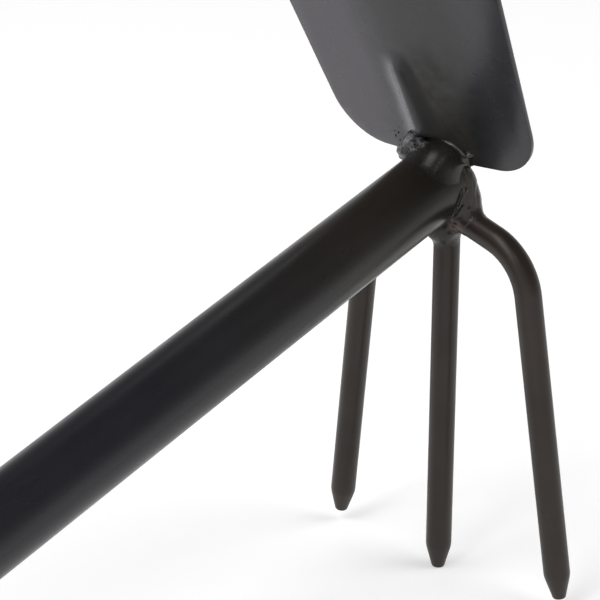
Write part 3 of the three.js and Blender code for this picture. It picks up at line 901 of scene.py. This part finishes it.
# Grip

def oval(x, half_y, half_z, power):
    """A closed loop at x: round where power is 2, squarer the larger it is."""
    angles = np.linspace(0, 2 * math.pi, GRIP_SIDES, endpoint=False)
    cosine, sine = np.cos(angles), np.sin(angles)
    y = half_y * np.sign(cosine) * np.abs(cosine) ** (2 / power)
    z = half_z * np.sign(sine) * np.abs(sine) ** (2 / power)
    return np.stack([np.full(len(angles), x), y, z], axis=-1)


def grip_profile():
    """(x, radius) down the outside of the sleeve, from the guard's edge to the end face."""
    plain_start = GRIP_START + GUARD_WIDTH + GRIP_WAIST
    bulb_start = GRIP_END - BULB_WIDTH
    plain_end = bulb_start - GRIP_WAIST
    waist_steps, groove_steps = 8, 10
    profile = []

    def corner(x, radius, from_deg, to_deg):
        for angle in np.radians(np.linspace(from_deg, to_deg, ROUND_STEPS + 1)):
            profile.append((x + GRIP_EDGE * math.cos(angle), radius + GRIP_EDGE * math.sin(angle)))

    def waist(start, end, from_radius, to_radius):
        for x in np.linspace(start, end, waist_steps + 1)[1:-1]:
            share = smoothstep(x, start, end)
            profile.append((x, from_radius + (to_radius - from_radius) * share))

    corner(GRIP_START + GRIP_EDGE, GUARD_RADIUS - GRIP_EDGE, 180, 90)
    profile.append((GRIP_START + GUARD_WIDTH, GUARD_RADIUS))
    waist(GRIP_START + GUARD_WIDTH, plain_start, GUARD_RADIUS, GRIP_RADIUS)
    profile.append((plain_start, GRIP_RADIUS))
    first = (plain_start + plain_end - GROOVE_COUNT * GROOVE_PITCH) / 2
    for groove in range(GROOVE_COUNT):
        for share in np.linspace(0, 1, groove_steps + 1):
            x = first + groove * GROOVE_PITCH + share * GROOVE_WIDTH
            dip = GROOVE_DEPTH * math.sin(math.pi * share) ** 2
            profile.append((x, GRIP_RADIUS - dip))
    profile.append((plain_end, GRIP_RADIUS))
    waist(plain_end, bulb_start, GRIP_RADIUS, BULB_RADIUS)
    profile.append((bulb_start, BULB_RADIUS))
    corner(GRIP_END - GRIP_EDGE, BULB_RADIUS - GRIP_EDGE, 90, 0)
    return profile


def grip_form():
    """The sleeve round its bore, running on into the lug."""
    bore = TUBE_RADIUS + SEAT_GAP
    bore_end = TUBE_END + SEAT_GAP
    loops = [oval(bore_end, bore, bore, 2)]
    for x, radius in [(GRIP_START + GRIP_EDGE / 2, bore), (GRIP_START, bore + GRIP_EDGE / 2)]:
        loops.append(oval(x, radius, radius, 2))
    loops += [oval(x, radius, radius, 2) for x, radius in grip_profile()]
    half_y, half_z = LUG_THICKNESS / 2, LUG_WIDTH / 2
    for turn in np.linspace(0, math.pi / 2, ROUND_STEPS + 1):
        out = LUG_FILLET * (1 - math.sin(turn))
        x = GRIP_END + LUG_FILLET * (1 - math.cos(turn))
        loops.append(oval(x, half_y + out, half_z + out, LUG_SQUARENESS))
    round_steps = 20
    for turn in np.linspace(0, math.pi / 2, round_steps)[:-1]:
        x = LUG_CENTRE + half_z * math.sin(turn)
        loops.append(oval(x, half_y, half_z * math.cos(turn), LUG_SQUARENESS))
    vertices, faces = skin(loops)
    seam = np.abs(vertices[:, 1]) < SEAM_HEIGHT * 2
    outside = np.hypot(vertices[:, 1], vertices[:, 2]) > bore + SEAT_GAP
    outside &= vertices[:, 0] < BULB_HEEL
    vertices[seam & outside, 2] *= 1 + SEAM_HEIGHT / GRIP_RADIUS
    return vertices, faces


def hole_cutter():
    """A plug that widens at both faces of the lug, across it."""
    reach = LUG_THICKNESS / 2
    profile = [(-reach - LUG_HOLE_FLARE, LUG_HOLE_RADIUS + LUG_HOLE_FLARE)]
    for turn in np.linspace(0, math.pi / 2, ROUND_STEPS + 1):
        run = LUG_HOLE_FLARE * math.sin(turn)
        profile.append((run - reach, LUG_HOLE_RADIUS + LUG_HOLE_FLARE - run))
    profile += [(-y, radius) for y, radius in reversed(profile)]
    angles = np.linspace(0, 2 * math.pi, HOLE_SIDES, endpoint=False)
    loops = []
    for y, radius in profile:
        x = LUG_CENTRE + radius * np.cos(angles)
        loops.append(np.stack([x, np.full(len(angles), y), radius * np.sin(angles)], axis=-1))
    return skin(loops)


def cut_hole(piece, form):
    """Cuts a form out of a piece's mesh and deletes the cutter."""
    cutter = add_object("cutter", form_mesh("cutter", form))
    modifier = piece.modifiers.new("hole", "BOOLEAN")
    modifier.operation = "DIFFERENCE"
    modifier.solver = "EXACT"
    modifier.object = cutter
    bpy.context.view_layer.update()
    evaluated = piece.evaluated_get(bpy.context.evaluated_depsgraph_get())
    cut = bpy.data.meshes.new_from_object(evaluated)
    piece.modifiers.clear()
    piece.data = cut
    smooth(cut)
    bpy.data.objects.remove(cutter)


# Materials

def rgb(hex_code):
    """A colour written as on screen, as linear light."""
    parts = [int(hex_code[k:k + 2], 16) / 255 for k in (0, 2, 4)]
    linear = [p / 12.92 if p <= 0.04045 else ((p + 0.055) / 1.055) ** 2.4 for p in parts]
    return (*linear, 1.0)


class Paint:
    """The nodes of a material or of the world, and a short way to add them."""

    def __init__(self, owner):
        self.owner = owner
        owner.use_nodes = True
        self.tree = owner.node_tree
        self.tree.nodes.clear()

    def add(self, kind, output, inputs, **settings):
        node = self.tree.nodes.new("ShaderNode" + kind)
        for key, value in settings.items():
            setattr(node, key, value)
        for key, value in inputs.items():
            socket = node.inputs[key]
            if isinstance(value, bpy.types.NodeSocket):
                self.tree.links.new(value, socket)
            else:
                socket.default_value = value
        return node.outputs[output] if output is not None else node

    def locate(self):
        """Finds the places on the tool in its own frame, in metres."""
        where = self.add("TexCoord", "Object", {})
        turn = {"Vector": where, "Rotation": (0, -REST_ANGLE, 0), "Location": -TURN.T @ SHIFT}
        self.places = self.add("Mapping", "Vector", turn)

    def part(self, axis):
        return self.add("SeparateXYZ", axis, {"Vector": self.places})

    def far(self, spot):
        """Distance from a spot on the tool."""
        inputs = {0: self.places, 1: spot}
        return self.add("VectorMath", "Value", inputs, operation="DISTANCE")

    def times(self, a, b):
        return self.add("Math", 0, {0: a, 1: b}, operation="MULTIPLY")

    def noise(self, size, detail=2.0, rough=0.5, stretch=None):
        places = self.places
        if stretch:
            places = self.add("Mapping", "Vector", {"Vector": places, "Scale": stretch})
        inputs = {"Vector": places, "Scale": 1 / size, "Detail": detail, "Roughness": rough}
        return self.add("TexNoise", "Fac", inputs)

    def band(self, value, low, high, to_low=0.0, to_high=1.0, **settings):
        """A value's run from low to high, mapped to another run and held at its ends."""
        inputs = {"Value": value, "From Min": low, "From Max": high}
        inputs |= {"To Min": to_low, "To Max": to_high}
        return self.add("MapRange", "Result", inputs, clamp=True, **settings)

    def fade(self, value, low, high):
        return self.band(value, low, high, 1.0, 0.0)

    def mix(self, share, a, b):
        """A blend of two colours, from sockets or written as on screen."""
        a, b = (rgb(color) if isinstance(color, str) else color for color in (a, b))
        return self.add("Mix", 2, {0: share, 6: a, 7: b}, data_type="RGBA")

    def bump(self, height, depth, normal=None):
        inputs = {"Height": height, "Distance": depth, "Strength": 1.0}
        if normal is not None:
            inputs["Normal"] = normal
        return self.add("Bump", "Normal", inputs)

    def finish(self, inputs):
        shader = self.add("BsdfPrincipled", "BSDF", inputs)
        self.add("OutputMaterial", None, {"Surface": shader})
        return self.owner


def tube_tone(paint, tone):
    """Brownish black by the head, bluish black along the handle, as a painted tint of the light."""
    # painted tint of the light: brown near the head, blue along the handle
    along = paint.band(paint.part("X"), *TUBE_LIGHT_TINT_FADE)
    near = paint.mix(tone, "1c1914", "211d18")
    far = paint.mix(tone, "13141a", "17181f")
    return paint.mix(along, near, far)


def painted_shade_and_dull_share(paint):
    """Where the blade's paint is darker as painted shade, and duller, right of its rib."""
    dark_patch = paint.fade(paint.far(SHADE_PATCH), *SHADE_PATCH_FADE)
    across = paint.part("Y")
    dark_patch = paint.times(dark_patch, paint.band(across, *SHADE_PATCH_LEFT))
    dark_patch = paint.times(dark_patch, paint.fade(across, *SHADE_PATCH_RIGHT))
    blotch = paint.band(paint.noise(0.006, 4.0, 0.6), 0.36, 0.6, 0.55, 1.0)
    return paint.times(dark_patch, blotch)


def blade_tone(paint, tone):
    """Grey; painted reflection on the left, painted shade right of the rib and round the welds."""
    drift = paint.add("Math", 0, {0: tone, 1: 0.006, 2: -0.003}, operation="MULTIPLY_ADD")
    across = paint.add("Math", 0, {0: paint.part("Y"), 1: drift}, operation="ADD")
    # painted reflection: lighter on the left, darker towards the right
    right = paint.band(across, *REFLECTION_FADE)
    color = paint.mix(right, "48454b", "2d2c30")
    # painted shade right of the rib
    middle = paint.times(right, paint.fade(across, *RIB_SHADE_FADE))
    color = paint.mix(middle, color, "1c1b1e")
    # painted highlight along the left of the rib's crest
    crest = paint.times(paint.band(across, *HIGHLIGHT_LEFT), paint.fade(across, *HIGHLIGHT_RIGHT))
    crest = paint.times(crest, paint.fade(paint.part("Z"), *HIGHLIGHT_TOP))
    color = paint.mix(crest, color, "625f65")
    # painted shade round the welds, right of the rib
    return paint.mix(painted_shade_and_dull_share(paint), color, "1b1914")


def plain_tone(dark, light):
    return lambda paint, tone: paint.mix(tone, dark, light)


def scar_tone(paint, tone):
    """Rusty brown in the scar in front of the centre tine, and black in its pits."""
    color = paint.mix(tone, "1b1815", "231f1c")
    scar = paint.fade(paint.far(SCAR), *SCAR_FADE)
    patchy = paint.band(paint.noise(0.0012, 3.0), 0.4, 0.6, 0.2, 0.9)
    color = paint.mix(paint.times(scar, patchy), color, "5a4038")
    for x, y, z, radius in SCAR_PITS:
        deep = paint.fade(paint.far((x, y, z)), 0.5 * radius, 1.3 * radius)
        color = paint.mix(deep, color, "0b0908")
    return color


def slag_tone(paint, tone):
    """Greyish paint over slag, lighter in patches."""
    patchy = paint.band(paint.noise(0.0028, 3.0), 0.45, 0.57)
    return paint.mix(patchy, "141110", "66646a")


def painted_metal(name, coat, roughness, gloss, mottle, pits=0.0, tint=(1, 1, 1), dulled=None):
    """Satin paint on steel: uneven tone, fine orange peel, dust, faint rubs and worn edges."""
    paint = Paint(bpy.data.materials.new(name))
    paint.locate()
    tone = paint.band(paint.noise(mottle, 3.0), 0.3, 0.7)
    color = coat(paint, tone)
    dust = paint.band(paint.noise(0.0009, 1.0), 0.74, 0.8, 0.0, 0.03)
    color = paint.mix(dust, color, "5c5852")
    rub = paint.noise(0.004, 3.0, 0.6, stretch=(0.25, 1.0, 1.0))
    rub = paint.band(rub, 0.62, 0.78, 0.0, 0.05)
    color = paint.mix(rub, color, "4c4844")
    edge = paint.add("NewGeometry", "Pointiness", {})
    worn = paint.band(edge, 0.57, 0.66, 0.0, 0.2)
    color = paint.mix(worn, color, "5a544d")
    satin = paint.noise(0.012, 3.0)
    satin = paint.band(satin, 0.3, 0.7, roughness - 0.04, roughness + 0.05)
    # the painted shade patch is also made rougher
    if dulled:
        inputs = {0: dulled(paint), 1: SHADE_PATCH_DULLING, 2: satin}
        satin = paint.add("Math", 0, inputs, operation="MULTIPLY_ADD")
    normal = paint.bump(paint.noise(0.0012, 2.0), 0.000012)
    if pits:
        pit = paint.band(paint.noise(0.0012, 3.0, 0.65), 0.34, 0.5)
        normal = paint.bump(pit, pits, normal)
        color = paint.mix(pit, "100e0c", color)
    inputs = {"Base Color": color, "Roughness": satin, "Normal": normal}
    inputs |= {"Specular IOR Level": gloss, "Specular Tint": (*tint, 1)}
    return paint.finish(inputs)


def moulded_rubber(name):
    """Matt black grip: fine pebble, bloom in patches, a little shine on what the hand rubs."""
    paint = Paint(bpy.data.materials.new(name))
    paint.locate()
    bloom = paint.band(paint.noise(0.018, 3.0), 0.35, 0.75)
    color = paint.mix(bloom, "1a1a1a", "242322")
    high = paint.add("NewGeometry", "Pointiness", {})
    rubbed = paint.band(high, 0.5, 0.56)
    color = paint.mix(rubbed, color, "2b2a29")
    gloss = paint.band(rubbed, 0.0, 1.0, 0.68, 0.5)
    inputs = {"Vector": paint.places, "Scale": 1 / 0.0009}
    pebble = paint.add("TexVoronoi", "Distance", inputs, feature="SMOOTH_F1")
    normal = paint.bump(pebble, 0.00008)
    normal = paint.bump(paint.noise(0.006, 2.0), 0.00006, normal)
    return paint.finish({"Base Color": color, "Roughness": gloss, "Normal": normal})


# The tool

tube_paint = painted_metal("tube_paint", tube_tone, 0.30, 0.36, 0.03)
blade_paint = painted_metal("blade_paint", blade_tone, 0.27, 0.42, 0.02, dulled=painted_shade_and_dull_share)
tine_tones = plain_tone("1d1613", "27201b")
tine_paint = painted_metal("tine_paint", tine_tones, 0.36, 0.4, 0.015, tint=(1, 0.94, 0.9))
weld_paint = painted_metal("weld_paint", plain_tone("171613", "1c1a18"), 0.23, 0.62, 0.004)
warm = (1, 0.95, 0.91)
mass_paint = painted_metal("mass_paint", scar_tone, 0.28, 0.42, 0.003, tint=warm)
crust_paint = painted_metal("crust_paint", scar_tone, 0.3, 0.4, 0.003, 0.00008, warm)
slag_paint = painted_metal("slag_paint", slag_tone, 0.32, 0.6, 0.002, pits=0.0001)
grip_rubber = moulded_rubber("grip_rubber")

add_piece("handle_tube_painted", tube_form(), tube_paint, "tube_paint", "handle_tube")
add_piece("hoe_blade_painted", blade_form(), blade_paint, "blade_paint", "hoe_blade")
add_piece("tine_bow_painted", bow_form(), tine_paint, "tine_paint", "tine_bow")
add_piece("center_tine_painted", tine_form(), tine_paint, "tine_paint", "center_tine")
grip = add_piece("grip_sleeve_moulded", grip_form(), grip_rubber, "grip", "grip_sleeve")
cut_hole(grip, hole_cutter())

welds = {
    "weld_blade_top": (in_front(top_weld), weld_paint),
    "weld_blade_left": (in_front(left_weld), slag_paint),
    "weld_blade_right": (in_front(right_weld), weld_paint),
    "weld_blade_back": (back_weld, weld_paint),
    "weld_bow_left": (bow_weld(-1), mass_paint),
    "weld_bow_right": (bow_weld(1), mass_paint),
    "weld_center_tine": (tine_weld, crust_paint),
}
for node_name, (field, paint) in welds.items():
    form = weld_form(field, *WELD_BOXES[node_name])
    add_piece(node_name + "_bead", form, paint, "weld_paint", node_name)


# Stage, light and camera

def add_floor():
    """A plain pale floor that keeps the tool's shadow, with a glow that makes it white."""
    paint = Paint(bpy.data.materials.new("floor_paint"))
    ray = paint.add("LightPath", None, {})
    seen = ray.outputs["Is Camera Ray"]
    for other in ("Is Glossy Ray", "Is Transmission Ray"):
        seen = paint.add("Math", 0, {0: seen, 1: ray.outputs[other]}, operation="MAXIMUM")
    pale = paint.add("BsdfDiffuse", "BSDF", {"Color": (FLOOR_TONE, FLOOR_TONE, FLOOR_TONE, 1)})
    lift = paint.add("Math", 0, {0: seen, 1: FLOOR_LIFT}, operation="MULTIPLY")
    glow = paint.add("Emission", "Emission", {"Color": (1, 1, 1, 1), "Strength": lift})
    both = paint.add("AddShader", 0, {0: pale, 1: glow})
    paint.add("OutputMaterial", None, {"Surface": both})
    mesh = bpy.data.meshes.new("floor")
    corners = [(-1, -1, 0), (1, -1, 0), (1, 1, 0), (-1, 1, 0)]
    mesh.from_pydata((FLOOR_REACH * np.array(corners)).tolist(), [], [(0, 1, 2, 3)])
    mesh.materials.append(paint.owner)
    add_object("floor", mesh)


def add_world():
    """A studio dome, white round the horizon and dim overhead, with a dark flag at one side."""
    studio = Paint(bpy.data.worlds.new("studio"))
    way = studio.add("TexCoord", "Generated", {})
    height = studio.add("SeparateXYZ", "Z", {0: way})
    ramp = studio.add("ValToRGB", None, {0: height})
    ramp.color_ramp.interpolation = "EASE"
    stops = ramp.color_ramp.elements
    for place, level in DOME:
        stop = stops[0] if place == 0 else stops.new(place)
        stop.position = place
        stop.color = (level, level, level, 1)
    stops.remove(stops[-1])
    aims = {0: way, 1: Vector(FLAG_AIM).normalized()}
    facing = studio.add("VectorMath", "Value", aims, operation="DOT_PRODUCT")
    shade = studio.band(facing, FLAG_EDGE, 1.0, 1.0, FLAG_SHADE, interpolation_type="SMOOTHSTEP")
    light = studio.add("Background", 0, {"Color": ramp.outputs[0], "Strength": shade})
    studio.add("OutputWorld", None, {"Surface": light})
    bpy.context.scene.world = studio.owner


def look(thing, place, back):
    """Puts a lamp or camera at a place, turned away from the line that leads back."""
    thing.location = place
    thing.rotation_mode = "QUATERNION"
    thing.rotation_quaternion = (-Vector(back)).to_track_quat("-Z", "Y")


def add_lamp(kind, name, back, level, **settings):
    """A lamp that shines on the tool's head, from a way back along a line towards the lamp."""
    light = bpy.data.lights.new(name, kind)
    light.energy = level
    for key, value in settings.items():
        setattr(light, key, value)
    lamp = add_object(name, light)
    lamp.visible_camera = False
    look(lamp, Vector(SHIFT) + Vector(back), back)
    return lamp


def add_camera():
    lens = bpy.data.cameras.new("camera")
    lens.lens = CAMERA_LENS
    lens.sensor_width = CAMERA_SENSOR
    camera = add_object("camera", lens)
    level = math.cos(CAMERA_ELEVATION)
    back = (
        math.sin(CAMERA_AZIMUTH) * level,
        -math.cos(CAMERA_AZIMUTH) * level,
        math.sin(CAMERA_ELEVATION),
    )
    look(camera, TURN @ CAMERA_AT + SHIFT, back)
    bpy.context.scene.camera = camera


add_floor()
add_world()
for name, back, size, level in BOX_LAMPS:
    add_lamp("AREA", name, back, level, shape="SQUARE", size=size)
for name, back, spread, level in FAR_LAMPS:
    lamp = add_lamp("SUN", name, back, level, angle=spread)
    lamp.visible_glossy = False
add_camera()
bpy.context.scene.view_settings.view_transform = "Standard"
